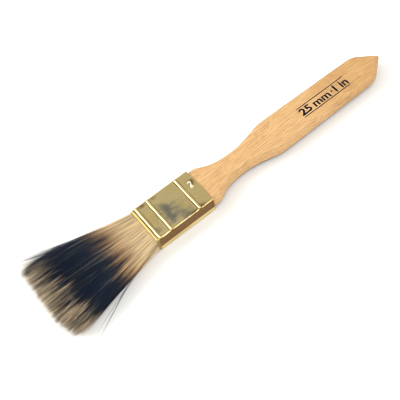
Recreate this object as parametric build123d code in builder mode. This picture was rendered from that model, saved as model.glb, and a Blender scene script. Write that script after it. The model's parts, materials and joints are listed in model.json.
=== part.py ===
from build123d import *
from math import atan2, sin
import os

os.makedirs("parts", exist_ok=True)

# A flat softening brush: a fan of badger hair, set in resin in a beaded brass-plated ferrule,
# on a flat beech handle with a narrow waist and a pointed end.
#
# The frame, in millimetres: the brush lies flat on a surface at Z = 0. X runs along it, with
# the hair's tips at -X and the handle's point at +X, and Y runs across its width. The origin
# is the middle of the overall length and width, on that surface.

# --- Ferrule ---
ferrule_width = 26.0
ferrule_thickness = 10.8
ferrule_length = 39.5
ferrule_corner = 0.8  # outer radius of the four long corners
sheet = 0.3
lip_length = 1.1  # the turned-in edge at the mouth
lip_step = 0.33
mouth_bead_distances = (2.8, 10.8)  # from the mouth to the middle of each bead
end_bead_distance = 8.8  # from the handle's end of the ferrule to its own bead
bead_width = 1.8
bead_height = 0.6
lap_width = 5.0  # the sheet's outer end, lapped over its inner end on the lower face
lap_run_out = 6.5  # over which the outer layer comes down to the common level
size_digit_height = 4.6
size_digit_width = 2.4
size_digit_stroke = 0.85
size_digit_rise = 0.4
size_digit_round = 0.3  # along its upper edges
size_digit_from_end = 3.5  # from the handle's end of the ferrule to the digit's middle
size_digit_y = 3.8

# --- Hair ---
hair_out = 69.0  # from the mouth to the longest tips
hair_set = 15.0  # from the mouth back to the resin
fan_spread = 13.0  # how far each side of the fan stands out past the ferrule's side
fan_middle_spread = 8.0  # the same, where the fan is half of its length out
fan_corner_spread = 10.2  # the same, at the corners of the tips
fan_widest = 58.0  # from the mouth to where the fan is widest
fan_corner_drop = 3.0  # from the longest tips back to the fan's corners
hair_thickness = 12.0
hair_thickest = 38.0  # from the mouth
tip_thickness = 8.8
tip_round = 7.0  # the length over which the tips round off
flex_gap = 0.3  # between the set hair and the hair that swings

# --- Inside the ferrule ---
pack_clearance = 0.05  # between the hair, the resin or the handle and the sheet
resin_depth = 5.5
strip_thickness = 2.2
strip_width = 17.0
strip_recess = 3.0  # from the mouth to the strip
strip_in_resin = 2.0
tongue_gap = 0.5  # between the resin and the handle's tongue
tongue_stop = 2.0  # from the tongue's shoulder to the ferrule's end

# --- Handle ---
handle_out = 137.8  # from the ferrule to the point
shoulder_side_gap = 0.25  # from the shoulder to the sheet beside it
shoulder_face_gap = 0.6  # from the shoulder to the sheet over and under it
shoulder_straight = 3.0
waist_width = 13.2
waist_distance = 27.0  # all handle distances are from the ferrule's end
paddle_width = 22.6
paddle_distance = 53.0
heel_width = 21.4  # where the pointed end begins
point_length = 12.3
point_thickness = 7.2
heel_round = 12.0
point_round = 0.8
edge_round = 2.4

# --- Nails through the lap into the handle's tongue ---
nail_front_margin = 4.5  # from the tongue's inner end to the first nail
nail_back_margin = 2.0  # from the tongue's shoulder to the second nail
nail_head_diameter = 2.0
nail_head_thickness = 0.25
nail_diameter = 1.0
nail_length = 5.0
nail_tip_length = 0.9
nail_tip_taper = 27.0  # degrees

# --- Places that follow ---
overall_length = hair_out + ferrule_length + handle_out
mouth_x = hair_out - overall_length / 2
ferrule_end_x = mouth_x + ferrule_length
lowest_trim = max(bead_height, sheet + nail_head_thickness)  # below the lower face
axis_z = max(ferrule_thickness / 2 + lowest_trim, hair_thickness / 2)
upper_face_z = axis_z + ferrule_thickness / 2
lower_face_z = axis_z - ferrule_thickness / 2
resin_start = hair_set
tongue_start = hair_set + resin_depth + tongue_gap
tongue_end = ferrule_length - tongue_stop
mouth_inset = lip_step + sheet  # from the ferrule's outer face to the hair at the mouth
flex_radius = ferrule_thickness / 2 - mouth_inset - pack_clearance
flex_x = mouth_x - flex_gap - flex_radius  # the axis about which the free hair swings
fan_root_width = ferrule_width - 2 * (mouth_inset + pack_clearance)
shoulder_width = ferrule_width - 2 * (sheet + shoulder_side_gap)
shoulder_thickness = ferrule_thickness - 2 * (sheet + shoulder_face_gap)
bead_distances = [*mouth_bead_distances, ferrule_length - end_bead_distance]


def section(from_mouth, inset):
    """The ferrule's rounded section, drawn in by an inset, at a distance from the mouth."""
    across = Plane(origin=(mouth_x + from_mouth, 0, axis_z), x_dir=(0, 1, 0), z_dir=(1, 0, 0))
    with BuildSketch(across) as outline:
        RectangleRounded(
            ferrule_width - 2 * inset,
            ferrule_thickness - 2 * inset,
            max(ferrule_corner - inset, 0.3 * ferrule_corner),
        )
    return outline.sketch


def half_fan():
    """One side of the fan's outline, from the root's corner round to the middle of the tips."""
    ferrule_side = ferrule_width / 2
    corner = (mouth_x - hair_out + fan_corner_drop, ferrule_side + fan_corner_spread)
    with BuildLine() as outline:
        side = Spline(
            (mouth_x - flex_gap, fan_root_width / 2),
            (mouth_x - hair_out / 2, ferrule_side + fan_middle_spread),
            (mouth_x - fan_widest, ferrule_side + fan_spread),
            tangents=[(-1, 0.22), (-1, 0)],
        )
        Spline(side @ 1, corner, (mouth_x - hair_out, 0), tangents=[(-1, 0), (0, -1)])
    return outline.line


# --- Nails: two in one node, their points up in the handle's tongue ---
lap_face_z = lower_face_z - sheet
nail_distances = (tongue_start + nail_front_margin, tongue_end - nail_back_margin)
nail_places = [(mouth_x + distance, 0) for distance in nail_distances]
with BuildPart() as ferrule_nails:
    with BuildSketch(Plane.XY.offset(lap_face_z - nail_head_thickness)):
        with Locations(*nail_places):
            Circle(nail_head_diameter / 2)
    extrude(amount=nail_head_thickness)
    with BuildSketch(Plane.XY.offset(lap_face_z)):
        with Locations(*nail_places):
            Circle(nail_diameter / 2)
    extrude(amount=nail_length)
    with BuildSketch(Plane.XY.offset(lap_face_z + nail_length)):
        with Locations(*nail_places):
            Circle(nail_diameter / 2)
    extrude(amount=nail_tip_length, taper=nail_tip_taper)

# --- Ferrule: a lapped tube of thin sheet with a turned-in lip and three beads ---
# A bead's section is part of a circle that stands bead_height out of the face.
bead_radius = (bead_width**2 / 4 + bead_height**2) / (2 * bead_height)
bead_sink = bead_radius - bead_height
bead_half_length = ferrule_width / 2 - bead_radius  # the round ends die out over the corners


def bead_capsules(radius):
    """Round-ended bars along all the beads, upper and lower, with the given radius."""
    with BuildPart() as bars:
        with BuildSketch(Plane.XY) as half_bar:
            with BuildLine():
                Polyline((0, -bead_half_length - radius), (0, bead_half_length + radius))
                RadiusArc((0, bead_half_length + radius), (radius, bead_half_length), radius)
                Line((radius, bead_half_length), (radius, -bead_half_length))
                RadiusArc((radius, -bead_half_length), (0, -bead_half_length - radius), radius)
            make_face()
        revolve(axis=Axis.Y)
    heights = (upper_face_z - bead_sink, lower_face_z + bead_sink)
    return [
        bars.part.moved(Location((mouth_x + distance, 0, height)))
        for distance in bead_distances
        for height in heights
    ]


with BuildPart() as ferrule:
    loft([section(0, lip_step), section(lip_length, 0)])
    extrude(section(lip_length, 0), amount=ferrule_length - lip_length)
    # The outer end of the sheet, lapped over the inner end along the lower face.
    lap_plane = Plane(origin=(mouth_x + lip_length, 0, lower_face_z), x_dir=(0, 1, 0), z_dir=(1, 0, 0))
    with BuildSketch(lap_plane):
        Polygon(
            (-lap_width / 2 - lap_run_out, 0),
            (-lap_width / 2, -sheet),
            (lap_width / 2, -sheet),
            (lap_width / 2, 0),
            align=None,
        )
    extrude(amount=ferrule_length - lip_length)
    add(bead_capsules(bead_radius))
    # The inside follows the outside, a sheet's thickness in.
    loft([section(0, mouth_inset), section(lip_length, sheet)], mode=Mode.SUBTRACT)
    extrude(section(lip_length, sheet), amount=ferrule_length - lip_length, mode=Mode.SUBTRACT)
    add(bead_capsules(bead_radius - sheet), mode=Mode.SUBTRACT)
    # The size digit, pressed up out of the upper face.
    bowl = (size_digit_width - size_digit_stroke) / 2
    base_y = size_digit_y - (size_digit_height - size_digit_stroke) / 2
    bowl_y = size_digit_y + (size_digit_height - size_digit_stroke) / 2 - bowl
    digit_x = ferrule_end_x - size_digit_from_end
    with BuildSketch(Plane.XY.offset(upper_face_z - sheet / 2)):
        with BuildLine():
            top = CenterArc((digit_x, bowl_y), bowl, 165, -195)
            diagonal = Line(top @ 1, (digit_x - bowl, base_y))
            Line(diagonal @ 1, (digit_x + bowl, base_y))
        trace(line_width=size_digit_stroke)
    extrude(amount=sheet / 2 + size_digit_rise)
    digit_top = ferrule.faces().sort_by_distance((digit_x, size_digit_y, upper_face_z + size_digit_rise))[0]
    fillet(digit_top.edges(), radius=size_digit_round)
    add(ferrule_nails.part, mode=Mode.SUBTRACT)

# --- Handle: a flat shaped board with rounded edges, and a tongue in the ferrule ---
shoulder_x = ferrule_end_x - tongue_stop
curve_x = ferrule_end_x + shoulder_straight
waist_x = ferrule_end_x + waist_distance
paddle_x = ferrule_end_x + paddle_distance
point_x = ferrule_end_x + handle_out
heel_x = point_x - point_length
half_point_angle = atan2(heel_width / 2, point_length)
sharp_x = point_x + point_round * (1 / sin(half_point_angle) - 1)  # before it is rounded
with BuildPart() as handle:
    with BuildSketch(Plane.XY.offset(axis_z)):
        with BuildLine():
            Line((shoulder_x, 0), (shoulder_x, shoulder_width / 2))
            Line((shoulder_x, shoulder_width / 2), (curve_x, shoulder_width / 2))
            Bezier(
                (curve_x, shoulder_width / 2),
                (curve_x + 0.27 * (waist_x - curve_x), shoulder_width / 2),
                (waist_x - 0.77 * (waist_x - curve_x), waist_width / 2),
                (waist_x, waist_width / 2),
            )
            Bezier(
                (waist_x, waist_width / 2),
                (waist_x + 0.42 * (paddle_x - waist_x), waist_width / 2),
                (paddle_x - 0.16 * (paddle_x - waist_x), paddle_width / 2),
                (paddle_x, paddle_width / 2),
            )
            Line((paddle_x, paddle_width / 2), (heel_x, heel_width / 2))
            Line((heel_x, heel_width / 2), (sharp_x, 0))
            mirror(about=Plane.XZ)
        make_face()
    extrude(amount=shoulder_thickness / 2, both=True)
    # The broad faces are level as far as the waist, then come together slightly to the point.
    with BuildSketch(Plane.XZ):
        Polygon(
            (shoulder_x, axis_z - shoulder_thickness / 2),
            (waist_x, axis_z - shoulder_thickness / 2),
            (sharp_x, axis_z - point_thickness / 2),
            (sharp_x, axis_z + point_thickness / 2),
            (waist_x, axis_z + shoulder_thickness / 2),
            (shoulder_x, axis_z + shoulder_thickness / 2),
            align=None,
        )
    extrude(amount=shoulder_width, both=True, mode=Mode.INTERSECT)
    fillet(handle.edges().filter_by(Axis.Z).group_by(Axis.X)[-2], radius=heel_round)
    fillet(handle.edges().filter_by(Axis.Z).group_by(Axis.X)[-1], radius=point_round)
    broad_faces = handle.faces().filter_by(lambda face: abs(face.normal_at().Z) > 0.9)
    fillet(broad_faces.edges().filter_by(Axis.Y, reverse=True), radius=edge_round)
    # The tongue fills the ferrule, and the nails are driven into it.
    tongue = section(tongue_start, sheet + pack_clearance)
    extrude(tongue, amount=tongue_end - tongue_start)
    add(ferrule_nails.part, mode=Mode.SUBTRACT)

# --- Spacer strip and resin: the strip parts the hair in two, and the resin holds it all ---
strip_end = hair_set + strip_in_resin
with BuildPart() as spacer_strip:
    with BuildSketch(Plane.XY.offset(axis_z)):
        with Locations((mouth_x + (strip_recess + strip_end) / 2, 0)):
            Rectangle(strip_end - strip_recess, strip_width)
    extrude(amount=strip_thickness / 2, both=True)

with BuildPart() as setting_resin:
    extrude(section(resin_start, sheet + pack_clearance), amount=resin_depth)
    add(spacer_strip.part, mode=Mode.SUBTRACT)

# --- Hair in the ferrule: an upper and a lower bundle, either side of the strip ---
with BuildPart() as upper_hair_roots:
    root_inset = mouth_inset + pack_clearance
    loft([section(0, root_inset), section(lip_length, sheet + pack_clearance)])
    extrude(section(lip_length, sheet + pack_clearance), amount=hair_set - lip_length)
    add(spacer_strip.part, mode=Mode.SUBTRACT)
    split(bisect_by=Plane.XY.offset(axis_z), keep=Keep.TOP)

# --- Free hair: the fan, from a rounded root that turns in front of the mouth ---
fan_edge = half_fan()
with BuildPart() as upper_hair_free:
    with BuildSketch(Plane.XY.offset(axis_z)):
        with BuildLine():
            add(fan_edge)
            mirror(about=Plane.XZ)
            Line(fan_edge @ 0, ((fan_edge @ 0).X, -(fan_edge @ 0).Y))
        make_face()
    extrude(amount=hair_thickness / 2)
    # Seen from the side: a round root, a slow swelling, and tips that thin and round off.
    with BuildSketch(Plane.XZ):
        with BuildLine():
            root = RadiusArc((flex_x + flex_radius, axis_z), (flex_x, axis_z + flex_radius), -flex_radius)
            swelling = Spline(
                root @ 1,
                (mouth_x - hair_thickest, axis_z + hair_thickness / 2),
                tangents=[(-1, 0), (-1, 0)],
            )
            tips = Spline(
                swelling @ 1,
                (mouth_x - hair_out + tip_round, axis_z + tip_thickness / 2),
                (mouth_x - hair_out, axis_z),
                tangents=[(-1, 0), (0, -1)],
            )
            Line(tips @ 1, root @ 0)
        make_face()
    extrude(amount=ferrule_width / 2 + fan_spread + 1, both=True, mode=Mode.INTERSECT)

middle_plane = Plane.XY.offset(axis_z)
lower_hair_roots = mirror(upper_hair_roots.part, about=middle_plane)
lower_hair_free = mirror(upper_hair_free.part, about=middle_plane)

pieces = {
    "handle": handle.part,
    "ferrule": ferrule.part,
    "ferrule_nails": ferrule_nails.part,
    "setting_resin": setting_resin.part,
    "spacer_strip": spacer_strip.part,
    "upper_hair_roots": upper_hair_roots.part,
    "lower_hair_roots": lower_hair_roots,
    "upper_hair_free": upper_hair_free.part,
    "lower_hair_free": lower_hair_free,
}
for name, piece in pieces.items():
    piece.label = name
    export_step(piece, f"parts/{name}.step")

print(f"hair swings about x {flex_x:.3f}, z {axis_z:.3f}, radius {flex_radius:.3f}")
print(f"mouth at x {mouth_x:.3f}, ferrule's end at x {ferrule_end_x:.3f}, point at x {point_x:.3f}")
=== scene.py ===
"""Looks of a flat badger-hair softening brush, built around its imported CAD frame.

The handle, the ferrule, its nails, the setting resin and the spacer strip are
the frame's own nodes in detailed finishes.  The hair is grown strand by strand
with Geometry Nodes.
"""

from __future__ import annotations

import json
import logging
import math
from dataclasses import dataclass, field, fields
from enum import Enum
from typing import ClassVar, Union

import bmesh
import bpy
from mathutils import Matrix, Vector


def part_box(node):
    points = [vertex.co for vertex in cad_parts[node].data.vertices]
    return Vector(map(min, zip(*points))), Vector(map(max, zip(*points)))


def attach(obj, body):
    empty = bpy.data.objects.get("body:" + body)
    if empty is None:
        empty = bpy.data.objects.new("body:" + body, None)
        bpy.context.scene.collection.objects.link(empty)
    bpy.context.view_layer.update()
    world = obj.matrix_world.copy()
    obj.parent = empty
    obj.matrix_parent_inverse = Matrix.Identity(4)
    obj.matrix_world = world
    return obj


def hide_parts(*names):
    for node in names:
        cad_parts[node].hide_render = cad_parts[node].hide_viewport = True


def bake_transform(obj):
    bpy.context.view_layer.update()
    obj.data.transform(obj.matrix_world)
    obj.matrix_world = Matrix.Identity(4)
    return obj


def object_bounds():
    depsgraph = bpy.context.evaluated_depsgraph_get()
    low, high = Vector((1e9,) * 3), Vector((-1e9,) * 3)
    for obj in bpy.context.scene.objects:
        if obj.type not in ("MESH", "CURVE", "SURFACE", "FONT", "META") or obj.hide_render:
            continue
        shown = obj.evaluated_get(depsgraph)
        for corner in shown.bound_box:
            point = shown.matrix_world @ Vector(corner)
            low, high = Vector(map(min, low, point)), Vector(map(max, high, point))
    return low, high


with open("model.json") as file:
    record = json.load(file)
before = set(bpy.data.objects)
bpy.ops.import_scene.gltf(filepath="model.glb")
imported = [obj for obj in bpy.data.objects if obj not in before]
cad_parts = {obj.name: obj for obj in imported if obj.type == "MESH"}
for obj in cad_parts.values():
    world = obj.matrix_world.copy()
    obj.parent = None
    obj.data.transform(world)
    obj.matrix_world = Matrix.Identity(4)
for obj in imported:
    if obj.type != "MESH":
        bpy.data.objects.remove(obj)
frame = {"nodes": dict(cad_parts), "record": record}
CAD_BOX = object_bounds()

LOG = logging.getLogger("softening_brush")
MM = 0.001
BODY = "brush_body"
FERRULE_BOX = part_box("ferrule")

Pair = tuple[float, float]
Triple = tuple[float, float, float]
Colour = tuple[float, float, float]
Feed = Union["Signal", float, int, str, tuple]

# A noise pattern lies mostly in these ranges, the second a little off centre.
CENTRED = (0.3, 0.7)
RAISED = (0.35, 0.7)


def from_srgb(red: int, green: int, blue: int) -> Colour:
    """Turns a display colour into a linear one.

    Args:
        red: Red from 0 to 255.
        green: Green from 0 to 255.
        blue: Blue from 0 to 255.

    Returns:
        The linear colour that a node takes.
    """
    shares = (c / 255.0 for c in (red, green, blue))
    return tuple(s / 12.92 if s <= 0.04045 else ((s + 0.055) / 1.055) ** 2.4 for s in shares)


@dataclass(frozen=True, eq=False)
class Signal:
    """A node's output, which plain arithmetic can be written with."""

    wires: Wires
    socket: bpy.types.NodeSocket

    def __add__(self, other: Feed) -> Signal:
        """Returns the sum."""
        return self.wires.math("ADD", self, other)

    def __sub__(self, other: Feed) -> Signal:
        """Returns the difference."""
        return self.wires.math("SUBTRACT", self, other)

    def __rsub__(self, other: Feed) -> Signal:
        """Returns what it leaves of a number."""
        return self.wires.math("SUBTRACT", other, self)

    def __mul__(self, other: Feed) -> Signal:
        """Returns the product."""
        return self.wires.math("MULTIPLY", self, other)

    def __truediv__(self, other: Feed) -> Signal:
        """Returns the quotient."""
        return self.wires.math("DIVIDE", self, other)

    def __pow__(self, power: Feed) -> Signal:
        """Returns the power."""
        return self.wires.math("POWER", self, power)

    def __abs__(self) -> Signal:
        """Returns the number without its sign."""
        return self.wires.math("ABSOLUTE", self)


class Wires:
    """Adds nodes to one tree and joins them, for shaders and geometry alike."""

    def __init__(self, tree: bpy.types.NodeTree) -> None:
        """Keeps the tree that the nodes go into."""
        self.tree = tree

    def feed(self, socket: bpy.types.NodeSocket, value: Feed) -> None:
        """Links a socket to a signal, or sets a constant on it.

        Args:
            socket: The input to feed.
            value: The signal or constant, a colour without its alpha.
        """
        if isinstance(value, Signal):
            self.tree.links.new(value.socket, socket)
        elif socket.type == "RGBA":
            socket.default_value = (*value, 1.0)
        else:
            socket.default_value = value

    def node(self, kind: str, values: dict[int | str, Feed] | None = None,
             **settings: object) -> bpy.types.Node:
        """Adds a node.

        Args:
            kind: The node's type name.
            values: What feeds its inputs, by their names or numbers.
            settings: Properties to set on it.

        Returns:
            The new node.
        """
        made = self.tree.nodes.new(kind)
        for name, value in settings.items():
            setattr(made, name, value)
        for name, value in (values or {}).items():
            self.feed(made.inputs[name], value)
        return made

    def join(self, kind: str, values: dict[int | str, Feed] | None = None,
             output: int | str = 0, **settings: object) -> Signal:
        """Adds a node as node() does and returns one of its outputs."""
        return Signal(self, self.node(kind, values, **settings).outputs[output])

    def math(self, operation: str, *values: Feed) -> Signal:
        """Joins a Math node to its inputs and returns its result."""
        return self.join("ShaderNodeMath", dict(enumerate(values)), operation=operation)

    def vector(self, operation: str, *values: Feed) -> Signal:
        """Joins a Vector Math node.

        Args:
            operation: The node's operation.
            values: Its inputs, as signals or triples.

        Returns:
            The result, which is a number for DOT_PRODUCT and LENGTH.
        """
        result = "Value" if operation in ("DOT_PRODUCT", "LENGTH") else "Vector"
        return self.join("ShaderNodeVectorMath", dict(enumerate(values)), result,
                         operation=operation)

    def combine(self, *values: Feed) -> Signal:
        """Returns a vector made of up to three numbers."""
        return self.join("ShaderNodeCombineXYZ", dict(enumerate(values)))

    def split(self, vector: Feed) -> tuple[Signal, ...]:
        """Returns the three numbers of a vector."""
        made = self.node("ShaderNodeSeparateXYZ", {0: vector})
        return tuple(Signal(self, socket) for socket in made.outputs)

    def remap(self, value: Feed, start: Feed, end: Feed, low: Feed = 0.0, high: Feed = 1.0,
              smooth: bool = True) -> Signal:
        """Takes a number from one range to another, clamped.

        Args:
            value: The number.
            start: The range's start.
            end: The range's end.
            low: The result at the start.
            high: The result at the end.
            smooth: Whether the ends are eased.

        Returns:
            The result.
        """
        kind = "SMOOTHSTEP" if smooth else "LINEAR"
        values = {"Value": value, "From Min": start, "From Max": end, "To Min": low,
                  "To Max": high}
        return self.join("ShaderNodeMapRange", values, interpolation_type=kind)

    def lerp(self, share: Feed, first: Feed, second: Feed) -> Signal:
        """Returns a number between two others."""
        return self.join("ShaderNodeMix", {0: share, 2: first, 3: second}, data_type="FLOAT")

    def tint(self, share: Feed, first: Feed, second: Feed, mode: str = "MIX") -> Signal:
        """Mixes two colours.

        Args:
            share: How much of the second colour is used.
            first: The first colour.
            second: The second colour.
            mode: The way they are mixed.

        Returns:
            The mixed colour.
        """
        return self.join("ShaderNodeMix", {0: share, 6: first, 7: second}, 2,
                         data_type="RGBA", blend_type=mode)

    def noise(self, place: Feed, stretch: Triple, detail: float = 2.0,
              rough: float = 0.5) -> Signal:
        """Joins a noise pattern.

        Args:
            place: The coordinates it reads.
            stretch: Pattern cells for each metre along each axis.
            detail: Octaves of finer pattern.
            rough: How strong the finer octaves are.

        Returns:
            The pattern's number, around a half.
        """
        stretched = self.vector("MULTIPLY", place, stretch)
        return self.join("ShaderNodeTexNoise", {"Vector": stretched, "Scale": 1.0,
                                                "Detail": detail, "Roughness": rough})

    def ramp(self, value: Feed, *stops: tuple[float, Colour]) -> Signal:
        """Joins a colour ramp.

        Args:
            value: The number it reads.
            stops: Places from 0 to 1 and their linear colours.

        Returns:
            The ramp's colour.
        """
        made = self.node("ShaderNodeValToRGB", {0: value})
        stones = made.color_ramp.elements
        while len(stones) < len(stops):
            stones.new(1.0)
        for stone, (place, colour) in zip(stones, stops):
            stone.position = place
            stone.color = (*colour, 1.0)
        return Signal(self, made.outputs[0])


class Finish:
    """One procedural material.  A finish lists its own looks."""

    name: str
    bump_height: float = 0.02 * MM

    def looks(self, wires: Wires) -> dict[str, Feed]:
        """Joins the finish's nodes and returns what feeds each input of the shader."""
        raise NotImplementedError

    def place(self, wires: Wires) -> Signal:
        """Returns the piece's own coordinates, in metres."""
        return wires.join("ShaderNodeTexCoord", output="Object")

    def relief(self, wires: Wires, height: Feed, strength: float) -> Signal:
        """Gives the surface fine relief.

        Args:
            wires: The material's nodes.
            height: The pattern of heights, from 0 to 1.
            strength: How strong the relief is.

        Returns:
            The bumped normal.
        """
        return wires.join("ShaderNodeBump", {"Strength": strength, "Height": height,
                                             "Distance": self.bump_height})

    def material(self) -> bpy.types.Material:
        """Returns the finish as a new material."""
        made = bpy.data.materials.new(self.name)
        made.use_nodes = True
        made.node_tree.nodes.clear()
        wires = Wires(made.node_tree)
        shaded = wires.join("ShaderNodeBsdfPrincipled", self.looks(wires))
        wires.node("ShaderNodeOutputMaterial", {"Surface": shaded})
        return made


@dataclass(frozen=True)
class BeechFinish(Finish):
    """Pale steamed beech under a thin satin seal, with the grain along X."""

    name: str = "beech_satin"
    pale: Colour = from_srgb(219, 179, 124)
    warm: Colour = from_srgb(206, 161, 105)
    warm_share: Pair = (0.3, 0.6)
    band_rate: Triple = (9.0, 210.0, 180.0)
    fleck: Colour = from_srgb(150, 104, 62)
    fleck_share: float = 0.42
    fleck_rate: Triple = (420.0, 1700.0, 1500.0)
    zone_rate: Triple = (60.0, 240.0, 240.0)
    zone_pull: float = 0.03
    fibre_share: float = 0.3
    fibre_rate: Triple = (120.0, 1700.0, 1500.0)
    # Painted shade: the handle darkens towards its far end.
    far_end_shade: Colour = (0.885, 0.845, 0.76)
    far_end_shade_span: Pair = (64.0 * MM, 88.0 * MM)
    # Painted shade: a dark brown band along the underside and low on the sides.
    low_side_shade: Colour = from_srgb(96, 62, 44)
    low_side_shade_height: Pair = (2.3 * MM, 4.3 * MM)
    low_side_shade_share: float = 0.8
    roughness: Pair = (0.44, 0.6)
    specular: float = 0.4
    bump_height: float = 0.06 * MM

    def looks(self, wires: Wires) -> dict[str, Feed]:
        """Joins bands, fibres, ray flecks, painted shade towards the far end and painted shade
        along the underside.

        Args:
            wires: The material's nodes.

        Returns:
            What feeds each input of the shader.
        """
        place = self.place(wires)
        x, _, z = wires.split(place)
        bands = wires.noise(place, self.band_rate, 3.0)
        fibres = wires.noise(place, self.fibre_rate, 1.0, 0.4)
        flecks = wires.noise(place, self.fleck_rate, 1.0, 0.4)
        zone = wires.noise(place, self.zone_rate, 1.0)
        flecked = wires.remap(flecks + zone * self.zone_pull, 0.56, 0.68)
        warmed = wires.remap(bands, 0.3, 0.75, *self.warm_share)
        wood = wires.tint(warmed, self.pale, self.warm)
        wood = wires.tint(wires.remap(fibres, 0.4, 0.62, 0.0, self.fibre_share), wood,
                          self.fleck)
        wood = wires.tint(flecked * self.fleck_share, wood, self.fleck)
        # Painted shade, darker towards the handle's far end.
        wood = wires.tint(wires.remap(x, *self.far_end_shade_span), wood, self.far_end_shade, "MULTIPLY")
        # Painted shade, darker towards the bottom of the handle.
        under = wires.remap(z, *self.low_side_shade_height, self.low_side_shade_share, 0.0)
        return {"Base Color": wires.tint(under, wood, self.low_side_shade),
                "Roughness": wires.remap(fibres, *CENTRED, *self.roughness),
                "Specular IOR Level": self.specular,
                "Normal": self.relief(wires, 1.0 - (flecked * 0.6 + fibres * 0.5), 0.5)}


@dataclass(frozen=True)
class SoftPatch:
    """One soft-edged patch on the ferrule's upper face, in millimetres. Clouds, oxide spots
    and a painted shadow beside the digit are such patches.

    Its centre is measured from the mouth and from the middle line.
    """

    centre: Pair
    size: Pair
    strength: float
    colour: Colour
    depth: float = 3.0


CLOUD = from_srgb(104, 112, 116)
# Brown for oxide spots, also used for painted shade and a painted reflection.
OXIDE_AND_SHADE = from_srgb(112, 74, 34)
SOFT_PATCHES = (
    SoftPatch((15.65, -0.8), (5.2, 6.4), 0.62, CLOUD),
    SoftPatch((24.15, -10.8), (4.6, 3.4), 0.58, CLOUD),
    SoftPatch((18.55, -6.0), (9.0, 6.2), 0.42, CLOUD),
    SoftPatch((14.95, -3.4), (3.4, 8.6), 0.4, CLOUD),
    SoftPatch((4.15, -7.0), (2.4, 2.6), 0.4, CLOUD),
    SoftPatch((32.85, -11.6), (3.6, 1.6), 0.95, OXIDE_AND_SHADE),
    SoftPatch((26.15, -11.9), (3.6, 1.3), 0.7, OXIDE_AND_SHADE),
    # Painted shadow beside the raised digit.
    SoftPatch((37.55, 4.6), (1.4, 2.2), 0.8, OXIDE_AND_SHADE, 1.0),
    SoftPatch((6.65, 11.2), (2.6, 1.3), 0.7, OXIDE_AND_SHADE),
    SoftPatch((14.15, 11.2), (2.2, 1.2), 0.6, OXIDE_AND_SHADE),
)


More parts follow.
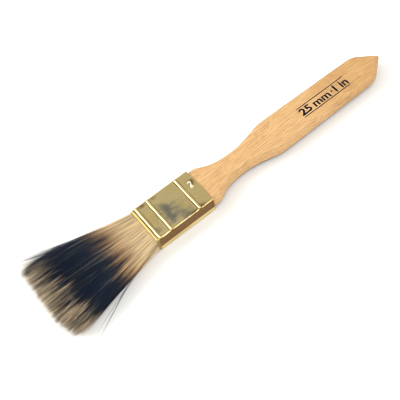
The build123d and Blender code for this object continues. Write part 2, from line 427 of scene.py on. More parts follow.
@dataclass(frozen=True)
class BrassFinish(Finish):
    """Thin brass plating on rolled steel sheet, dulled and clouded, with painted shade, a
    painted reflection and a painted highlight.

    Lengths along the ferrule are measured from its mouth, crest and
    digit_height from its middle, and side and corner inwards from its sides.
    """

    name: str = "brass_plate_clouded"
    bright: Colour = from_srgb(234, 213, 152)
    dull: Colour = from_srgb(214, 190, 124)
    rubbed: Colour = from_srgb(222, 200, 142)
    # Painted highlight: the raised digit is painted near white.
    digit_highlight: Colour = from_srgb(252, 246, 226)
    # Painted shade on the lip that slopes in towards the hair.
    lip_shade: Colour = from_srgb(158, 138, 84)
    roughness: Pair = (0.23, 0.37)
    crest_roughness: float = 0.13
    digit_roughness: float = 0.5
    mouth: float = FERRULE_BOX[0].x
    half_width: float = FERRULE_BOX[1].y
    middle: float = (FERRULE_BOX[0].z + FERRULE_BOX[1].z) / 2.0
    patch_height: float = 11.4 * MM
    beads: Triple = (2.8 * MM, 10.8 * MM, 30.7 * MM)
    # The next sizes place the painted shade at the beads' feet, at their ends and at the rim.
    bead_foot: float = 1.05 * MM
    bead_end: Pair = (0.5 * MM, 1.3 * MM)
    bead_top: Pair = (10.0 * MM, 10.9 * MM)
    foot_line: Pair = (0.05 * MM, 0.35 * MM)
    side: Pair = (0.5 * MM, 0.15 * MM)
    corner: Pair = (0.9 * MM, 0.4 * MM)
    rim: float = 0.3 * MM
    lip: Pair = (1.19 * MM, 1.7 * MM)
    # Height of the painted reflection stripe on each narrow side.
    stripe_low: Pair = (3.4 * MM, 4.6 * MM)
    stripe_high: Pair = (10.8 * MM, 11.3 * MM)
    digit_start: float = 32.4 * MM
    digit_height: Pair = (5.5 * MM, 5.7 * MM)
    crest: Pair = (5.64 * MM, 5.89 * MM)
    bump_height: float = 0.01 * MM

    def patches(self, wires: Wires, place: Feed, ragged: Feed, plate: Feed) -> Signal:
        """Clouds the upper face and paints a shadow beside the digit.

        Args:
            wires: The material's nodes.
            place: The piece's coordinates.
            ragged: A pattern that breaks up the patches' edges.
            plate: The colour under them.

        Returns:
            The clouded colour.
        """
        frayed = wires.remap(ragged, *CENTRED, 0.38, -0.3)
        for soft_patch in SOFT_PATCHES:
            (out, across), size = soft_patch.centre, (*soft_patch.size, soft_patch.depth)
            centre = (self.mouth + out * MM, across * MM, self.patch_height)
            offset = wires.vector("SUBTRACT", place, centre)
            shares = wires.vector("DIVIDE", offset, tuple(s * MM for s in size))
            edge = wires.vector("LENGTH", shares) + frayed
            plate = wires.tint(wires.remap(edge, 0.1, 1.45, soft_patch.strength, 0.0), plate,
                               soft_patch.colour)
        return plate

    def shade_and_reflection(self, wires: Wires, place: Feed, ragged: Feed) -> Signal:
        """Finds where the plate is painted brown as shade and reflection.

        Args:
            wires: The material's nodes.
            place: The piece's coordinates.
            ragged: A pattern that breaks up the painted shade lines at the beads' feet.

        Returns:
            How brown each point is: painted shade at the mouth's rim, at the beads' feet and
                at their ends, and a painted reflection stripe on each side.
        """
        x, y, z = wires.split(place)
        out = x - self.mouth
        side, corner = (wires.remap(abs(y), self.half_width - start, self.half_width - full)
                        for start, full in (self.side, self.corner))
        corner = corner * wires.remap(z, *self.bead_top)
        # Painted shade: a dark line along the mouth's rim, where the hair goes in.
        brown = wires.remap(out, 0.0, self.rim, 0.8, 0.0)
        for bead in self.beads:
            off = abs(out - bead)
            # Painted shade: a dark line at each foot of the bead.
            line = wires.remap(abs(off - self.bead_foot), *self.foot_line, 1.25, 0.0)
            brown = wires.math("MAXIMUM", brown, line * (1.0 - side) * ragged)
            # Painted shade: dark spots at the bead's ends by the upper corners.
            end = wires.remap(off, *self.bead_end, 1.0, 0.0)
            brown = wires.math("MAXIMUM", brown, end * corner)
        # Painted reflection: a brown stripe on the upper part of each narrow side.
        band = wires.remap(z, *self.stripe_low) * wires.remap(z, *self.stripe_high, 1.0, 0.0)
        return wires.math("MAXIMUM", brown, side * band * 0.93)

    def looks(self, wires: Wires) -> dict[str, Feed]:
        """Joins the rolling marks, the cloudy patches, the brown specks, the painted shade and
        reflection, and the painted highlight on the digit.

        Args:
            wires: The material's nodes.

        Returns:
            What feeds each input of the shader.
        """
        place = self.place(wires)
        x, _, z = wires.split(place)
        rolled = wires.noise(place, (160.0, 3800.0, 3800.0), 3.0, 0.6)
        uneven = wires.noise(place, (110.0, 130.0, 130.0), 3.0, 0.55)
        specks = wires.noise(place, (1400.0, 1400.0, 1400.0), 1.0)
        cloud_edge = wires.noise(place, (190.0, 240.0, 240.0))
        plate = wires.tint(wires.remap(uneven, *RAISED), self.bright, self.dull)
        plate = self.patches(wires, place, cloud_edge, plate)
        # Brown specks, plus the painted shade and painted reflection.
        brown = wires.math("MAXIMUM", wires.remap(specks, 0.72, 0.8, 0.0, 0.45),
                           self.shade_and_reflection(wires, place, uneven))
        plate = wires.tint(brown, plate, OXIDE_AND_SHADE)
        height = abs(z - self.middle)
        rubbed = wires.remap(height, *self.crest)
        plate = wires.tint(rubbed, plate, self.rubbed)
        out = x - self.mouth
        # Painted shade: the lip darkens towards the hair.
        plate = wires.tint(wires.remap(out, *self.lip, 0.85, 0.0), plate, self.lip_shade)
        # Painted highlight on the raised digit's top.
        digit = wires.remap(height, *self.digit_height) * \
            wires.math("GREATER_THAN", out, self.digit_start)
        gloss = wires.remap(rolled, *CENTRED, -0.03, 0.04) + \
            wires.remap(uneven, *RAISED, *self.roughness)
        gloss = wires.lerp(rubbed, gloss, self.crest_roughness)
        return {"Base Color": wires.tint(digit, plate, self.digit_highlight), "Metallic": 1.0,
                "Roughness": wires.lerp(digit, gloss, self.digit_roughness),
                "Normal": self.relief(wires, rolled, 0.12)}


@dataclass(frozen=True)
class MottledFinish(Finish):
    """A finish whose one pattern mixes two colours and roughens the surface.

    The second colour takes over where the pattern crosses second_range.
    """

    name: str
    first: Colour
    second: Colour
    stretch: Triple
    second_range: Pair
    roughness: Pair
    detail: float = 2.0
    fineness: float = 0.5
    metallic: float = 0.0
    specular: float = 0.5
    relief_strength: float = 0.0
    bump_height: float = 0.02 * MM

    def looks(self, wires: Wires) -> dict[str, Feed]:
        """Joins the pattern, and the relief where there is any.

        Args:
            wires: The material's nodes.

        Returns:
            What feeds each input of the shader.
        """
        marks = wires.noise(self.place(wires), self.stretch, self.detail, self.fineness)
        colour = wires.tint(wires.remap(marks, *self.second_range), self.first, self.second)
        looks = {"Base Color": colour, "Metallic": self.metallic,
                 "Roughness": wires.remap(marks, *CENTRED, *self.roughness),
                 "Specular IOR Level": self.specular}
        if self.relief_strength:
            looks["Normal"] = self.relief(wires, marks, self.relief_strength)
        return looks


STRUCK_NAILS = MottledFinish(
    "nail_brass_struck", from_srgb(228, 204, 138), from_srgb(150, 122, 66),
    (1100.0, 1500.0, 1500.0), (0.42, 0.68), (0.25, 0.5), metallic=1.0, relief_strength=0.6,
    bump_height=0.03 * MM)
AMBER_RESIN = MottledFinish(
    "setting_resin", from_srgb(168, 116, 54), from_srgb(104, 62, 24),
    (260.0, 260.0, 260.0), RAISED, (0.12, 0.28), relief_strength=0.4)
SAWN_STRIP = MottledFinish(
    "strip_wood_raw", from_srgb(214, 182, 134), from_srgb(168, 128, 82),
    (700.0, 60.0, 1500.0), RAISED, (0.7, 0.85), 3.0, 0.6, relief_strength=0.5)
WORN_INK = MottledFinish(
    "stamp_ink", from_srgb(9, 11, 20), from_srgb(46, 38, 34), (500.0, 2100.0, 2100.0),
    (0.5, 0.78), (0.45, 0.65), 3.0, 0.6, specular=0.2)


@dataclass(frozen=True)
class HairFinish(Finish):
    """Badger hair, read from each strand's own map.

    Across the map lies the strand's kind, and up it lies how far along its
    bands a point is: cream root, dark band and tan tip.
    """

    name: str = "badger_hair"
    root: Colour = from_srgb(234, 210, 164)
    root_gold: Colour = from_srgb(192, 152, 108)
    brown: Colour = from_srgb(96, 70, 58)
    band: Colour = from_srgb(0, 24, 50)
    tip: Colour = from_srgb(232, 208, 168)
    dark_root: Colour = from_srgb(104, 72, 50)
    dark_tip: Colour = from_srgb(54, 50, 52)
    grey: Colour = from_srgb(146, 142, 134)
    # Painted highlight: grey streaks over the dark band.
    grey_highlight: Colour = from_srgb(120, 122, 124)
    dark_kinds: Pair = (0.12, 0.15)
    badger_kinds: Pair = (0.52, 0.55)
    pale_kinds: Pair = (0.93, 0.95)
    contrast: Pair = (0.44, 0.66)
    roughness: Pair = (0.32, 0.46)
    specular: float = 0.28
    map_name: str = "OFBake"

    def looks(self, wires: Wires) -> dict[str, Feed]:
        """Joins the four kinds of strand, their bands, painted grey highlight streaks over the
        dark band and the light and dark strands.

        Args:
            wires: The material's nodes.

        Returns:
            What feeds each input of the shader.
        """
        kind, along, _ = wires.split(wires.join("ShaderNodeUVMap", uv_map=self.map_name))
        dipped = wires.ramp(along, (0.0, self.root), (0.16, self.root), (0.25, self.root_gold),
                            (0.29, self.brown), (0.34, self.band), (0.84, self.band),
                            (1.0, self.dark_tip))
        badger = wires.ramp(along, (0.0, self.root), (0.2, self.root), (0.26, self.root_gold),
                            (0.3, self.brown), (0.35, self.band), (0.72, self.band),
                            (0.77, self.brown), (0.82, self.tip), (1.0, self.tip))
        dark = wires.ramp(along, (0.0, self.root_gold), (0.13, self.dark_root),
                          (0.25, self.brown), (0.33, self.band), (0.8, self.band),
                          (1.0, self.dark_tip))
        pale = wires.ramp(along, (0.0, self.root), (0.3, self.root), (0.38, self.grey),
                          (0.75, self.grey), (1.0, self.tip))
        colour = wires.tint(wires.remap(kind, *self.badger_kinds), dipped, badger)
        colour = wires.tint(wires.remap(kind, *self.pale_kinds), colour, pale)
        colour = wires.tint(wires.remap(kind, *self.dark_kinds, 1.0, 0.0), colour, dark)
        own = wires.combine(kind, along)
        # Painted highlight: grey streaks, picked by a pattern, over the dark band.
        pick = wires.noise(own, (330.0, 1.5, 1.0), 1.0)
        grey_highlight = wires.remap(pick, 0.62, 0.68, 0.0, 0.75) * wires.remap(along, 0.2, 0.4)
        colour = wires.tint(grey_highlight, colour, self.grey_highlight)
        fine = wires.noise(own, (420.0, 6.0, 1.0), 1.0)
        spread = wires.remap(along, 0.15, 0.4, *self.contrast)
        light = wires.remap(fine, 0.34, 0.66, 1.0 - spread, spread * 0.8 + 1.05)
        colour = wires.tint(1.0, colour, wires.combine(light, light, light), "MULTIPLY")
        return {"Base Color": colour, "Specular IOR Level": self.specular,
                "Roughness": wires.remap(fine, *CENTRED, *self.roughness)}


@dataclass(frozen=True)
class FloorFinish(Finish):
    """Plain pale paper under the brush."""

    name: str = "pale_floor"
    paper: Colour = (0.91, 0.90, 0.865)

    def looks(self, wires: Wires) -> dict[str, Feed]:
        """Returns the plain paper's values."""
        return {"Base Color": self.paper, "Roughness": 0.9, "Specular IOR Level": 0.1}


def show(name: str, data: bpy.types.ID) -> bpy.types.Object:
    """Adds a new object to the scene.

    Args:
        name: The object's name.
        data: Its mesh, curve, light or camera.

    Returns:
        The object.
    """
    made = bpy.data.objects.new(name, data)
    bpy.context.scene.collection.objects.link(made)
    return made


def dress(node: str, finish: Finish) -> None:
    """Gives one of the frame's own nodes a finish.

    Args:
        node: The node's name.
        finish: The finish it takes.
    """
    shown = frame["nodes"][node]
    shown.data.materials.clear()
    shown.data.materials.append(finish.material())
    LOG.info("%s dressed in %s", node, finish.name)


@dataclass
class Handle:
    """The beech handle and the size mark, placed from its upper face's mount."""

    words: tuple[str, ...] = ("25 mm", "1 in")
    mark_start: float = -15.45 * MM
    mark_length: float = 36.0 * MM
    mark_height: float = 5.4 * MM
    mark_side: float = -1.2 * MM
    ink_depth: float = 0.03 * MM
    word_space: float = 0.7
    boldness: float = 0.024
    curve_steps: int = 6
    dot: float = 1.1 * MM
    dot_gap: float = 1.5 * MM
    rule: float = 0.5 * MM
    rule_gap: float = 1.1 * MM
    wood: BeechFinish = field(default_factory=BeechFinish)

    def face_matrix(self) -> Matrix:
        """Finds the upper broad face from its mount.

        Returns:
            The matrix whose X runs along the handle, Y across it and Z out of it.
        """
        mount = next(m for m in frame["record"]["mounts"] if m["name"] == "grip_upper")
        normal = Vector(mount["axis"]).normalized()
        across = Vector((0.0, 1.0, 0.0))
        along = across.cross(normal).normalized()
        turn = Matrix((along, across, normal)).transposed().to_4x4()
        return Matrix.Translation(Vector(mount["pos_m"])) @ turn

    def word(self, text: str) -> bpy.types.Mesh:
        """Cuts one word out of a sheet.

        Args:
            text: The word.

        Returns:
            Its mesh, one unit thick about Z = 0.
        """
        curve = bpy.data.curves.new("size_word", "FONT")
        curve.body = text
        curve.align_y = "CENTER"
        curve.space_word = self.word_space
        curve.offset = self.boldness
        curve.extrude = 0.5
        curve.resolution_u = self.curve_steps
        holder = show("size_word", curve)
        bpy.context.view_layer.update()
        mesh = bpy.data.meshes.new_from_object(holder)
        bpy.data.objects.remove(holder)
        return mesh

    def stamp(self, sketch: bmesh.types.BMesh, mesh: bpy.types.Mesh, start: float,
              scale: float) -> float:
        """Adds one word to the mark.

        Args:
            sketch: The mark so far, with X from the mark's start.
            mesh: The word's mesh.
            start: Where its left end goes.
            scale: Metres for each of the word's units.

        Returns:
            Where its right end is.
        """
        xs = [v.co.x for v in mesh.vertices]
        ys = [v.co.y for v in mesh.vertices]
        low, high = min(xs), max(xs)
        middle, tall = (max(ys) + min(ys)) / 2.0, self.mark_height / (max(ys) - min(ys))
        for vert in mesh.vertices:
            vert.co.x = start + (vert.co.x - low) * scale
            vert.co.y = (vert.co.y - middle) * tall
            vert.co.z = (0.5 + vert.co.z) * self.ink_depth
        sketch.from_mesh(mesh)
        return start + (high - low) * scale

    def block(self, sketch: bmesh.types.BMesh, low: Pair, high: Pair) -> None:
        """Adds one plain inked block to the mark.

        Args:
            sketch: The mark so far.
            low: Its lowest corner along and across the handle.
            high: Its highest corner.
        """
        size = (high[0] - low[0], high[1] - low[1], self.ink_depth, 1.0)
        middle = [(a + b) / 2.0 for a, b in zip(low, high)] + [self.ink_depth / 2.0]
        bmesh.ops.create_cube(sketch, size=1.0,
                              matrix=Matrix.Translation(middle) @ Matrix.Diagonal(size))

    def sketch(self) -> bpy.types.Mesh:
        """Draws the words, a dot between them and a rule on each side.

        Returns:
            The flat mark's mesh, with X from its start and Y from its middle.
        """
        meshes = [self.word(text) for text in self.words]
        spans = [max(v.co.x for v in m.vertices) - min(v.co.x for v in m.vertices)
                 for m in meshes]
        free = self.mark_length - (len(meshes) - 1) * (self.dot + 2.0 * self.dot_gap)
        scale = free / sum(spans)
        sketch = bmesh.new()
        reach = self.stamp(sketch, meshes[0], 0.0, scale)
        for mesh in meshes[1:]:
            start = reach + self.dot_gap
            self.block(sketch, (start, -self.dot / 2.0), (start + self.dot, self.dot / 2.0))
            reach = self.stamp(sketch, mesh, start + self.dot + self.dot_gap, scale)
        for side in (-1.0, 1.0):
            line = side * (self.mark_height / 2.0 + self.rule_gap)
            self.block(sketch, (0.0, line - self.rule / 2.0),
                       (self.mark_length, line + self.rule / 2.0))
        bmesh.ops.remove_doubles(sketch, verts=sketch.verts, dist=1e-7)
        bmesh.ops.recalc_face_normals(sketch, faces=sketch.faces)
        mesh = bpy.data.meshes.new("size_mark")
        sketch.to_mesh(mesh)
        sketch.free()
        return mesh

    def build(self) -> None:
        """Dresses the handle and stamps the size mark on it."""
        dress("handle", self.wood)
        face, mesh = self.face_matrix(), self.sketch()
        mesh.transform(face @ Matrix.Translation((self.mark_start, self.mark_side, 0.0)))
        mark = show("size_mark", mesh)
        mark.data.materials.append(WORN_INK.material())
        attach(mark, BODY)
        LOG.info("size_mark built, %d faces", len(mesh.polygons))


@dataclass
class Ferrule:
    """The plated ferrule with its nails, and what it hides."""

    brass: BrassFinish = field(default_factory=BrassFinish)

    def build(self) -> None:
        """Gives each of the ferrule's nodes its finish."""
        dress("ferrule", self.brass)
        dress("ferrule_nails", STRUCK_NAILS)
        dress("setting_resin", AMBER_RESIN)
        dress("spacer_strip", SAWN_STRIP)


class Half(Enum):
    """The upper or lower half of the hair, with the nodes that it stands for."""

    UPPER = 1
    LOWER = -1

    @property
    def nodes(self) -> tuple[str, str]:
        """The frame's nodes of this half."""
        side = self.name.lower()
        return f"{side}_hair_free", f"{side}_hair_roots"


@dataclass(frozen=True)
class Lock:
    """One piece of the hair: its part of the section and how its strands behave.

    Across and depth run from -1 to 1 over the head's width and thickness.
    """

    name: str
    half: Half
    across: Pair
    depth: Pair
    strands: int
    seed: int
    lean: float = 0.0
    lean_range: float = 1.9 * MM
    wave: float = 0.3 * MM
    pull: float = 0.76
    odd_share: float = 0.12
    reach: float = 1.0
    shortest: float = 0.86
    girth: float = 0.078 * MM
    kinds: Pair = (0.03, 0.97)


class StrandTree:
    """The Geometry Nodes tree that grows one lock of hair from the ferrule."""

    PLACES = ("mouth_x", "middle_z", "half_sign", "across_from", "across_to", "depth_from",
              "depth_to", "kind_from", "kind_to")
    RINGS = 10
    SIDES = 3
    EVEN_RATES = {"across": 0.7548776662, "depth": 0.5698402910}
    SCATTER = 0.012
    ROW_KEY = 211.0
    SEED_STEP = 37.0
    CLUMP_MIDDLE = (0.25, 0.75)
    CLUMP_KINDS = (0.13, 0.93)
    CLUMP_REACH = (0.935, 1.0)
    OWN_LEAN = 0.12
    LIFT = 0.45
    WAVE_SPAN = 60.0 * MM
    PULL_SPAN = (16.0 * MM, 64.0 * MM)
    STRIP_SPAN = (-2.0 * MM, 9.0 * MM)
    ROUNDING = (0.1, 0.42)
    CHART_START = 0.08
    CHART_ROOT = 0.22
    CHART_BAND = 0.45
    CHART_TIP = 0.22

    def __init__(self) -> None:
        """Makes the tree, with inputs named after the head's and a lock's sizes."""
        self.tree = bpy.data.node_groups.new("hair_lock", "GeometryNodeTree")
        self.wires = Wires(self.tree)
        self.stored: list[str] = []
        self.salt = 0
        face = self.tree.interface
        face.new_socket("Geometry", in_out="OUTPUT", socket_type="NodeSocketGeometry")
        sizes = [each.name for kind in (HairHead, Lock) for each in fields(kind)
                 if each.type == "float"]
        kinds = {"strands": "Int", "seed": "Int", "hair": "Material",
                 **dict.fromkeys((*self.PLACES, *sizes), "Float")}
        for name, kind in kinds.items():
            face.new_socket(name, in_out="INPUT", socket_type=f"NodeSocket{kind}")
        sockets = self.wires.node("NodeGroupInput").outputs
        self.inputs = {name: Signal(self.wires, sockets[name]) for name in kinds}
        self.join()

    def chance(self, low: Feed, high: Feed, key: Feed | None = None) -> Signal:
        """Draws a fixed random number for each strand, or for each key.

        Args:
            low: The lowest number.
            high: The highest number.
            key: A whole number that equal draws share, or none for each strand its own.

        Returns:
            The number.
        """
        self.salt += 1
        values = {2: low, 3: high, "Seed": self.inputs["seed"] + self.SEED_STEP * self.salt}
        if key is not None:
            values["ID"] = key
        return self.wires.join("FunctionNodeRandomValue", values, 1, data_type="FLOAT")

    def sway(self, reach: Feed, key: Feed | None = None) -> Signal:
        """Draws as chance() does, from the reach below nought to the reach above it."""
        return self.chance(reach * -1.0, reach, key)

    def keep(self, geometry: Feed, name: str, value: Feed) -> Signal:
        """Stores a named value on each point.

        Args:
            geometry: The geometry that takes it.
            name: The value's name.
            value: The value.

        Returns:
            The geometry with the value.
        """
        self.stored.append(name)
        return self.wires.join("GeometryNodeStoreNamedAttribute",
                               {"Geometry": geometry, "Name": name, "Value": value},
                               data_type="FLOAT", domain="POINT")

    def kept(self, name: str) -> Signal:
        """Returns a value that keep() stored."""
        return self.wires.join("GeometryNodeInputNamedAttribute", {"Name": name},
                               data_type="FLOAT")

    def strand(self) -> Signal:
        """Makes one straight three-sided strand.

        Returns:
            The strand, with its distance from 0 to 1 along Z stored on it.
        """
        w = self.wires
        geometry = w.join("GeometryNodeMeshCylinder",
                          {"Vertices": self.SIDES, "Side Segments": self.RINGS,
                           "Radius": 1.0, "Depth": 1.0}, fill_type="NGON")
        x, y, z = w.split(w.join("GeometryNodeInputPosition"))
        for name, value in (("along", z + 0.5), ("ring_y", x), ("ring_z", y)):
            geometry = self.keep(geometry, name, value)
        return w.join("GeometryNodeSetShadeSmooth", {0: geometry})

    def roots(self) -> Signal:
        """Lays out the strands' roots over the lock's part of the section.

        Returns:
            One point for each strand, with what the strand keeps to.
        """
        w, i = self.wires, self.inputs
        geometry = w.join("GeometryNodePoints", {"Count": i["strands"]})
        index = w.join("GeometryNodeInputIndex")
        places = []
        for axis, rate in self.EVEN_RATES.items():
            share = w.math("FRACT", index * rate + 0.5) + self.sway(self.SCATTER)
            places.append(w.lerp(share, i[f"{axis}_from"], i[f"{axis}_to"]))
        across, depth = places
        bent = w.noise(w.combine(across, depth), (7.0, 7.0, 1.0))
        column = (across + bent * 0.34) * i["clumps_across"]
        row = depth * i["clumps_depth"]
        key = w.math("FLOOR", row) * self.ROW_KEY + w.math("FLOOR", column)
        values = {}
        for axis, own, cell in (("across", across, column), ("depth", depth, row)):
            off = w.math("FRACT", cell) - self.chance(*self.CLUMP_MIDDLE, key)
            values[axis] = own
            values[f"clump_{axis}"] = own - off / i[f"clumps_{axis}"]
        past = w.math("MAXIMUM", i["fall_start"] - across * i["fan_half_width"], 0.0)
        share = w.lerp(self.chance(0.0, 1.0) ** 0.55, i["shortest"], 1.0)
        share = share * self.chance(*self.CLUMP_REACH, key)
        values["reach"] = (i["front"] * i["reach"] - past * i["front_fall"]) * share
        own = w.math("LESS_THAN", self.chance(0.0, 1.0), i["odd_share"])
        kind = w.lerp(self.chance(*self.CLUMP_KINDS, key), i["kind_from"], i["kind_to"])
        values["kind"] = w.lerp(own, kind, self.chance(i["kind_from"], i["kind_to"]))
        tilted = across * i["tip_band_tilt"] + i["tip_band"]
        for name, band, fray in (("root_band", i["root_band"], 2.0 * MM),
                                 ("tip_band", tilted, 1.8 * MM)):
            values[name] = band + self.sway(i["band_jitter"], key) + self.sway(fray)
        lean = i["lean"] + self.sway(i["lean_range"], key)
        values["lean"] = self.sway(i["lean_range"]) * self.OWN_LEAN + lean
        values["lift"] = self.sway(i["lean_range"], key) * self.LIFT
        values["phase"] = self.chance(0.0, 6.283, key) + self.chance(0.0, 1.2)
        values["swing"] = self.chance(0.3, 1.0)
        values["girth"] = self.chance(0.75, 1.25)
        for name, value in values.items():
            geometry = self.keep(geometry, name, value)
        return geometry

    def section(self, out: Signal) -> tuple[Signal, Signal]:
        """Sizes the head's section.

        Args:
            out: The distance outside the ferrule's mouth.

        Returns:
            Half of its width and half of its thickness there.
        """
        w, i = self.wires, self.inputs
        open_width = out * i["fan_slope"] + i["root_half_width"]
        half_width = w.math("SMOOTH_MIN", open_width, i["fan_half_width"], 3.0 * MM)
        belly = i["belly_distance"]
        swell = w.remap(out, 0.0, belly, i["root_half_depth"], i["belly_half_depth"])
        thin = w.remap(out, belly, belly * 1.7, 0.0,
                       i["belly_half_depth"] - i["tip_half_depth"])
        return half_width, swell - thin

    def flow(self) -> tuple[Signal, Signal]:
        """Places each ring of each strand along the fan.

        Returns:
            The position, and the distance from the ferrule's mouth.
        """
        w, i = self.wires, self.inputs
        along, phase = self.kept("along"), self.kept("phase")
        distance = w.lerp(along, i["set_depth"] * -1.0, self.kept("reach"))
        out = w.math("MAXIMUM", distance, 0.0)
        half_width, half_depth = self.section(out)
        pull = w.remap(out, *self.PULL_SPAN) * i["pull"]
        across = w.lerp(pull, self.kept("across"), self.kept("clump_across"))
        depth = w.lerp(pull, self.kept("depth"), self.kept("clump_depth"))
        rounded = abs(across) ** 5.0 * w.remap(out, 0.0, 50.0 * MM, *self.ROUNDING)
        gone = out / self.WAVE_SPAN
        bend = gone ** 2.0
        size = i["wave"] * self.kept("swing") * gone ** 1.2
        y = across * half_width + (bend * self.kept("lean") +
                                   size * w.math("SINE", gone * 7.0 + phase))
        strip = i["strip_half"] * w.remap(distance, *self.STRIP_SPAN, 1.0, 0.0)
        z = depth * (1.0 - rounded) * (half_depth - strip) + strip * i["half_sign"]
        z = z + (bend * self.kept("lift") + size * w.math("SINE", gone * 5.2 + phase * 2.3))
        taper = w.remap(along, 0.68, 1.0, 1.0, 0.3) * w.remap(along, 0.0, 0.5, 0.8, 1.0)
        radius = i["girth"] * self.kept("girth") * taper
        z = w.math("MAXIMUM", z + i["middle_z"], radius * 1.3)
        place = w.combine(i["mouth_x"] - distance, self.kept("ring_y") * radius + y,
                          self.kept("ring_z") * radius + z)
        return place, distance

    def chart(self, distance: Signal) -> Signal:
        """Lays each strand on the finish's map.

        Args:
            distance: The distance from the ferrule's mouth.

        Returns:
            The map's coordinates: the strand's kind, and how far along its bands it is.
        """
        w = self.wires
        root_band, tip_band = self.kept("root_band"), self.kept("tip_band")
        end = w.math("MAXIMUM", self.kept("reach"), tip_band + 5.0 * MM)
        root = w.math("MINIMUM", 1.0, distance / root_band) * self.CHART_ROOT
        band = w.remap(distance, root_band, tip_band, 0.0, self.CHART_BAND, smooth=False)
        tip = w.remap(distance, tip_band, end, 0.0, self.CHART_TIP, smooth=False)
        ring_y, ring_z = self.kept("ring_y"), self.kept("ring_z")
        kind = (ring_z * 0.5 + ring_y) * 0.0015 + self.kept("kind")
        return w.combine(kind, ring_z * 0.001 + (root + self.CHART_START + band + tip))

    def join(self) -> None:
        """Joins the whole tree."""
        w = self.wires
        scattered = w.join("GeometryNodeInstanceOnPoints",
                           {"Points": self.roots(), "Instance": self.strand()})
        real = w.join("GeometryNodeRealizeInstances", {0: scattered})
        place, distance = self.flow()
        charted = w.join("GeometryNodeStoreNamedAttribute",
                         {"Geometry": real, "Name": HairFinish.map_name,
                          "Value": self.chart(distance)},
                         data_type="FLOAT2", domain="CORNER")
        moved = w.join("GeometryNodeSetPosition", {"Geometry": charted, "Position": place})
        coated = w.join("GeometryNodeSetMaterial",
                        {"Geometry": moved, "Material": self.inputs["hair"]})
        w.node("NodeGroupOutput", {0: coated})


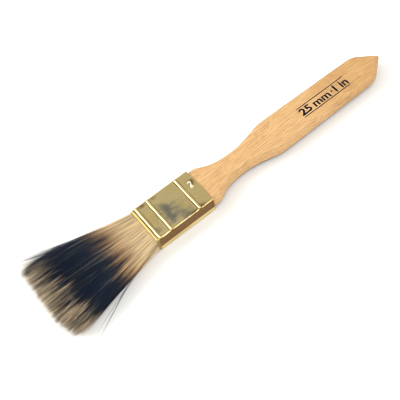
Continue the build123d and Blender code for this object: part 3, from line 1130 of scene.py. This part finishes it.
@dataclass
class HairHead:
    """The flat head of badger hair, in upper and lower locks and a few strays.

    Its sizes and a lock's feed the strand tree's inputs of the same names.
    """

    lock_strands: int = 1900
    guard_strands: int = 190
    cuts: tuple[float, ...] = (-1.0, -0.5, 0.0, 0.5, 1.0)
    root_half_width: float = 12.3 * MM
    root_half_depth: float = 4.7 * MM
    set_depth: float = 14.5 * MM
    fan_slope: float = 0.215
    fan_half_width: float = 25.0 * MM
    belly_half_depth: float = 5.8 * MM
    belly_distance: float = 38.0 * MM
    tip_half_depth: float = 4.3 * MM
    front: float = 70.2 * MM
    front_fall: float = 0.34
    fall_start: float = -12.0 * MM
    clumps_across: float = 33.0
    clumps_depth: float = 6.0
    strip_half: float = 1.15 * MM
    root_band: float = 25.5 * MM
    tip_band: float = 54.0 * MM
    tip_band_tilt: float = 3.5 * MM
    band_jitter: float = 7.0 * MM
    bend_length: ClassVar[float] = 35.0 * MM
    finish: HairFinish = field(default_factory=HairFinish)

    def locks(self) -> list[Lock]:
        """Lists the pieces of the head.

        Returns:
            Four locks in each half, the guard hairs, then the strays at the two edges.
        """
        made = []
        for half, depth in ((Half.UPPER, (0.0, 1.0)), (Half.LOWER, (-1.0, 0.0))):
            for index, across in enumerate(zip(self.cuts, self.cuts[1:])):
                made.append(Lock(f"{half.name.lower()}_hair_lock_{index + 1}", half, across,
                                 depth, self.lock_strands, 11 + 100 * half.value + index))
        for half, depth in ((Half.UPPER, (0.82, 1.04)), (Half.LOWER, (-1.04, -0.82))):
            for name, kinds in (("dark", (0.0, 0.3)), ("pale", (0.72, 0.98))):
                made.append(Lock(f"{half.name.lower()}_guard_hair_{name}", half, (-1.0, 1.0),
                                 depth, self.guard_strands, 31 + 7 * half.value + len(made),
                                 lean_range=3.4 * MM, wave=0.9 * MM, pull=0.2,
                                 odd_share=1.0, shortest=0.72, girth=0.11 * MM,
                                 kinds=kinds))
        return made + [
            Lock("stray_hair_left", Half.UPPER, (0.72, 1.0), (-0.3, 1.0), 170, 5,
                 lean=4.4 * MM, lean_range=3.6 * MM, wave=1.2 * MM, pull=0.1,
                 shortest=0.72, girth=0.1 * MM, kinds=(0.0, 0.8)),
            Lock("stray_hair_right", Half.UPPER, (-1.0, -0.8), (-0.3, 1.0), 40, 9,
                 lean=-1.2 * MM, lean_range=2.2 * MM, wave=0.9 * MM, pull=0.1,
                 shortest=0.75, girth=0.075 * MM, kinds=(0.05, 0.45)),
            Lock("long_hair_right", Half.LOWER, (-1.0, -0.97), (-0.4, 0.0), 3, 2,
                 lean=-12.5 * MM, lean_range=1.8 * MM, wave=0.9 * MM, pull=0.0,
                 reach=0.92, shortest=0.9, girth=0.12 * MM, kinds=(0.05, 0.1))]

    def grow(self, strands: StrandTree, lock: Lock,
             shared: dict[str, object]) -> bpy.types.Object:
        """Grows one lock as a plain mesh.

        Args:
            strands: The strand tree.
            lock: The lock to grow.
            shared: Values that all locks share, by the names of the tree's inputs.

        Returns:
            The lock's object, with its place in its mesh.
        """
        values = {**vars(self), **vars(lock), **shared, "half_sign": float(lock.half.value)}
        for name, span in (("across", lock.across), ("depth", lock.depth),
                           ("kind", lock.kinds)):
            values[f"{name}_from"], values[f"{name}_to"] = span
        seedling = show("seedling", bpy.data.meshes.new("seedling"))
        modifier = seedling.modifiers.new("grow", "NODES")
        modifier.node_group = strands.tree
        for item in strands.tree.interface.items_tree:
            if item.item_type == "SOCKET" and item.in_out == "INPUT":
                modifier[item.identifier] = values[item.name]
        bpy.context.view_layer.update()
        ready = seedling.evaluated_get(bpy.context.evaluated_depsgraph_get())
        mesh = bpy.data.meshes.new_from_object(ready)
        mesh.name = lock.name
        bpy.data.objects.remove(seedling)
        for name in strands.stored:
            mesh.attributes.remove(mesh.attributes[name])
        return show(lock.name, mesh)

    def build(self) -> None:
        """Grows every lock and hides the frame's hair nodes that it stands for."""
        strands = StrandTree()
        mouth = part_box("ferrule")[0].x
        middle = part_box("lower_hair_free")[1].z
        shared = {"mouth_x": mouth, "middle_z": middle, "hair": self.finish.material()}
        for lock in self.locks():
            piece = self.grow(strands, lock, shared)
            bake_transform(piece)
            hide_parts(*lock.half.nodes)
            LOG.info("%s grown, %d strands, %d faces", lock.name, lock.strands,
                     len(piece.data.polygons))


@dataclass(frozen=True)
class Lamp:
    """One square soft light: its name, the way to it from the brush, side and watts."""

    name: str
    way: Triple
    size: float
    power: float


@dataclass
class Studio:
    """The plain floor, the soft light and the camera, whose angles are in degrees."""

    floor_half: float = 3.0
    target_out: Triple = (35.2 * MM, -4.8 * MM, 5.6 * MM)
    distance: float = 0.454
    azimuth: float = -23.7
    elevation: float = 57.9
    roll: float = -16.3
    lens: float = 72.0
    sensor: float = 36.0
    nearest: float = 0.01
    lamps: tuple[Lamp, ...] = (Lamp("key_light", (-0.63, 0.49, 0.61), 0.55, 9.5),
                               Lamp("top_light", (0.2, -0.35, 0.9), 0.35, 2.6))
    lamp_distance: float = 1.3
    dull_way: Triple = (0.21, 0.49, 0.85)
    dull_angles: Pair = (42.0, 14.0)
    sky_levels: Pair = (1.18, 0.55)
    film_blur: float = 0.6
    finish: FloorFinish = field(default_factory=FloorFinish)

    @property
    def target(self) -> Vector:
        """The point that the camera and the lights face, set out from the mouth."""
        return Vector((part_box("ferrule")[0].x, 0.0, CAD_BOX[0].z)) + Vector(self.target_out)

    def floor(self) -> None:
        """Lays the floor under the lowest point of the frame."""
        low, half = CAD_BOX[0].z, self.floor_half
        corners = [(x * half, y * half, low) for x, y in ((-1, -1), (1, -1), (1, 1), (-1, 1))]
        mesh = bpy.data.meshes.new("floor")
        mesh.from_pydata(corners, [], [(0, 1, 2, 3)])
        mesh.materials.append(self.finish.material())
        floor = show("floor", mesh)

    def sky(self) -> None:
        """Surrounds the scene with soft white light, duller overhead and behind."""
        world = bpy.data.worlds.new("soft_studio")
        world.use_nodes = True
        world.node_tree.nodes.clear()
        wires = Wires(world.node_tree)
        way = wires.vector("NORMALIZE", wires.join("ShaderNodeTexCoord", output="Generated"))
        facing = wires.vector("DOT_PRODUCT", way, tuple(Vector(self.dull_way).normalized()))
        angles = (math.cos(math.radians(angle)) for angle in self.dull_angles)
        level = wires.remap(facing, *angles, *self.sky_levels)
        grey = wires.combine(level, level, level)
        light = wires.join("ShaderNodeBackground", {"Color": grey})
        wires.node("ShaderNodeOutputWorld", {"Surface": light})
        bpy.context.scene.world = world

    def hang(self, lamp: Lamp) -> None:
        """Hangs one light that faces the brush.

        Args:
            lamp: The light's sizes.
        """
        data = bpy.data.lights.new(lamp.name, "AREA")
        data.shape = "SQUARE"
        data.size = lamp.size
        data.energy = lamp.power
        hung = show(lamp.name, data)
        way = Vector(lamp.way).normalized()
        hung.location = self.target + way * self.lamp_distance
        hung.rotation_mode = "QUATERNION"
        hung.rotation_quaternion = (-way).to_track_quat("-Z", "Y")

    def camera(self) -> None:
        """Stands the camera at its angle over the brush."""
        a, e, r = (math.radians(v) for v in (self.azimuth, self.elevation, self.roll))
        back = Vector((math.sin(a) * math.cos(e), -math.cos(a) * math.cos(e), math.sin(e)))
        right = Vector((math.cos(a), math.sin(a), 0.0))
        up = back.cross(right)
        across = right * math.cos(r) + up * math.sin(r)
        above = up * math.cos(r) - right * math.sin(r)
        data = bpy.data.cameras.new("camera")
        data.lens = self.lens
        data.sensor_width = self.sensor
        data.clip_start = self.nearest
        camera = show("camera", data)
        turn = Matrix((across, above, back)).transposed().to_4x4()
        camera.matrix_world = Matrix.Translation(self.target + back * self.distance) @ turn
        bpy.context.scene.camera = camera

    def build(self) -> None:
        """Builds the floor, the lights and the camera."""
        self.camera()
        self.floor()
        self.sky()
        for lamp in self.lamps:
            self.hang(lamp)
        bpy.context.scene.view_settings.view_transform = "Standard"
        bpy.context.scene.cycles.filter_width = self.film_blur
        LOG.info("studio built")


def main() -> None:
    """Builds every piece of the brush and the studio around it."""
    logging.basicConfig(level=logging.INFO, format="%(message)s")
    Studio().build()
    Handle().build()
    Ferrule().build()
    HairHead().build()


if __name__ == "__main__":
    main()
